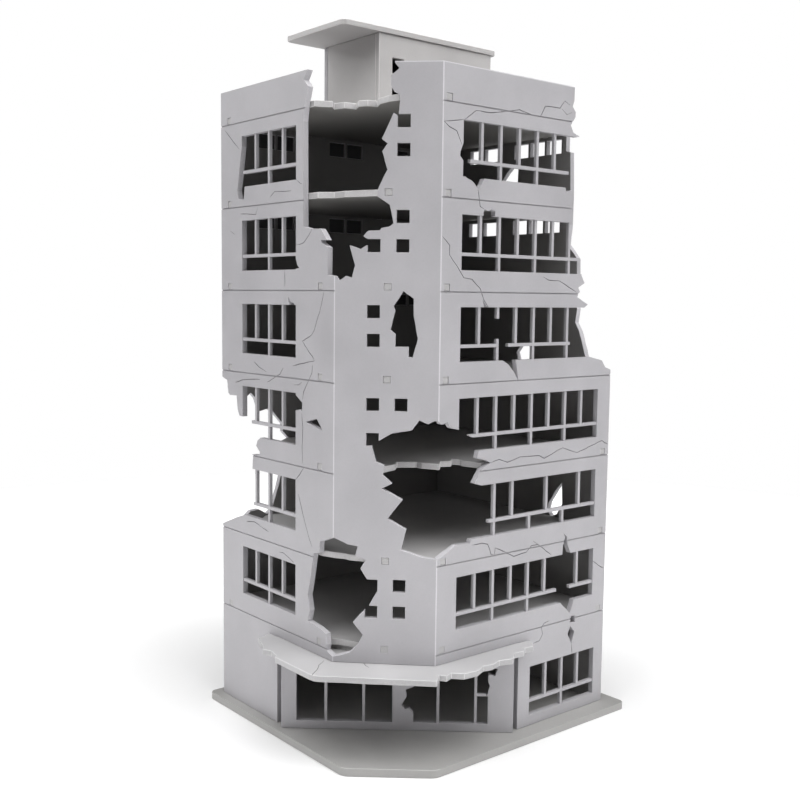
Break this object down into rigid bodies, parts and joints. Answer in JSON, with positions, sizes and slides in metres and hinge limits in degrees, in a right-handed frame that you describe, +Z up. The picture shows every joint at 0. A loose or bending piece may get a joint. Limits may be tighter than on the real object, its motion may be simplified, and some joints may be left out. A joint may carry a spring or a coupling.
{
  "type": "miniature terrain ruin",
  "caption": "Free-standing tabletop terrain ruin: a shelled multi-storey corner building of slotted grey plastic plates, with open rooms, barred windows and a shop front under a canopy.",
  "frame": {"origin": "centre of the bounding box in plan, on the underside of the base plate", "axes": "+Z up, +X along the right street wall away from the cut corner, +Y along the left street wall away from the cut corner"},
  "size_m": [0.094, 0.082, 0.1876],
  "materials": {
    "wall_plastic": "moulded grey styrene, satin, with slightly glossy flat faces",
    "floor_plastic": "moulded grey styrene, satin, with slightly glossy flat faces",
    "base_plastic": "moulded grey styrene, satin, with slightly glossy flat faces",
    "canopy_plastic": "moulded grey styrene, satin, with slightly glossy flat faces",
    "stair_house_plastic": "moulded grey styrene, satin, with slightly glossy flat faces"
  },
  "bodies": {
    "root": {"base_plate": "base_plastic", "wall_right": "wall_plastic", "wall_left": "wall_plastic", "wall_corner": "wall_plastic", "wall_side": "wall_plastic", "wall_rear": "wall_plastic", "shop_front": "wall_plastic", "canopy": "canopy_plastic", "floor_1": "floor_plastic", "floor_2": "floor_plastic", "floor_3": "floor_plastic", "floor_4": "floor_plastic", "floor_5": "floor_plastic", "floor_6": "floor_plastic", "roof_deck": "floor_plastic", "stair_house_front": "stair_house_plastic", "stair_house_left": "stair_house_plastic", "stair_house_right": "stair_house_plastic", "stair_house_roof": "stair_house_plastic"}
  },
  "joints": []
}
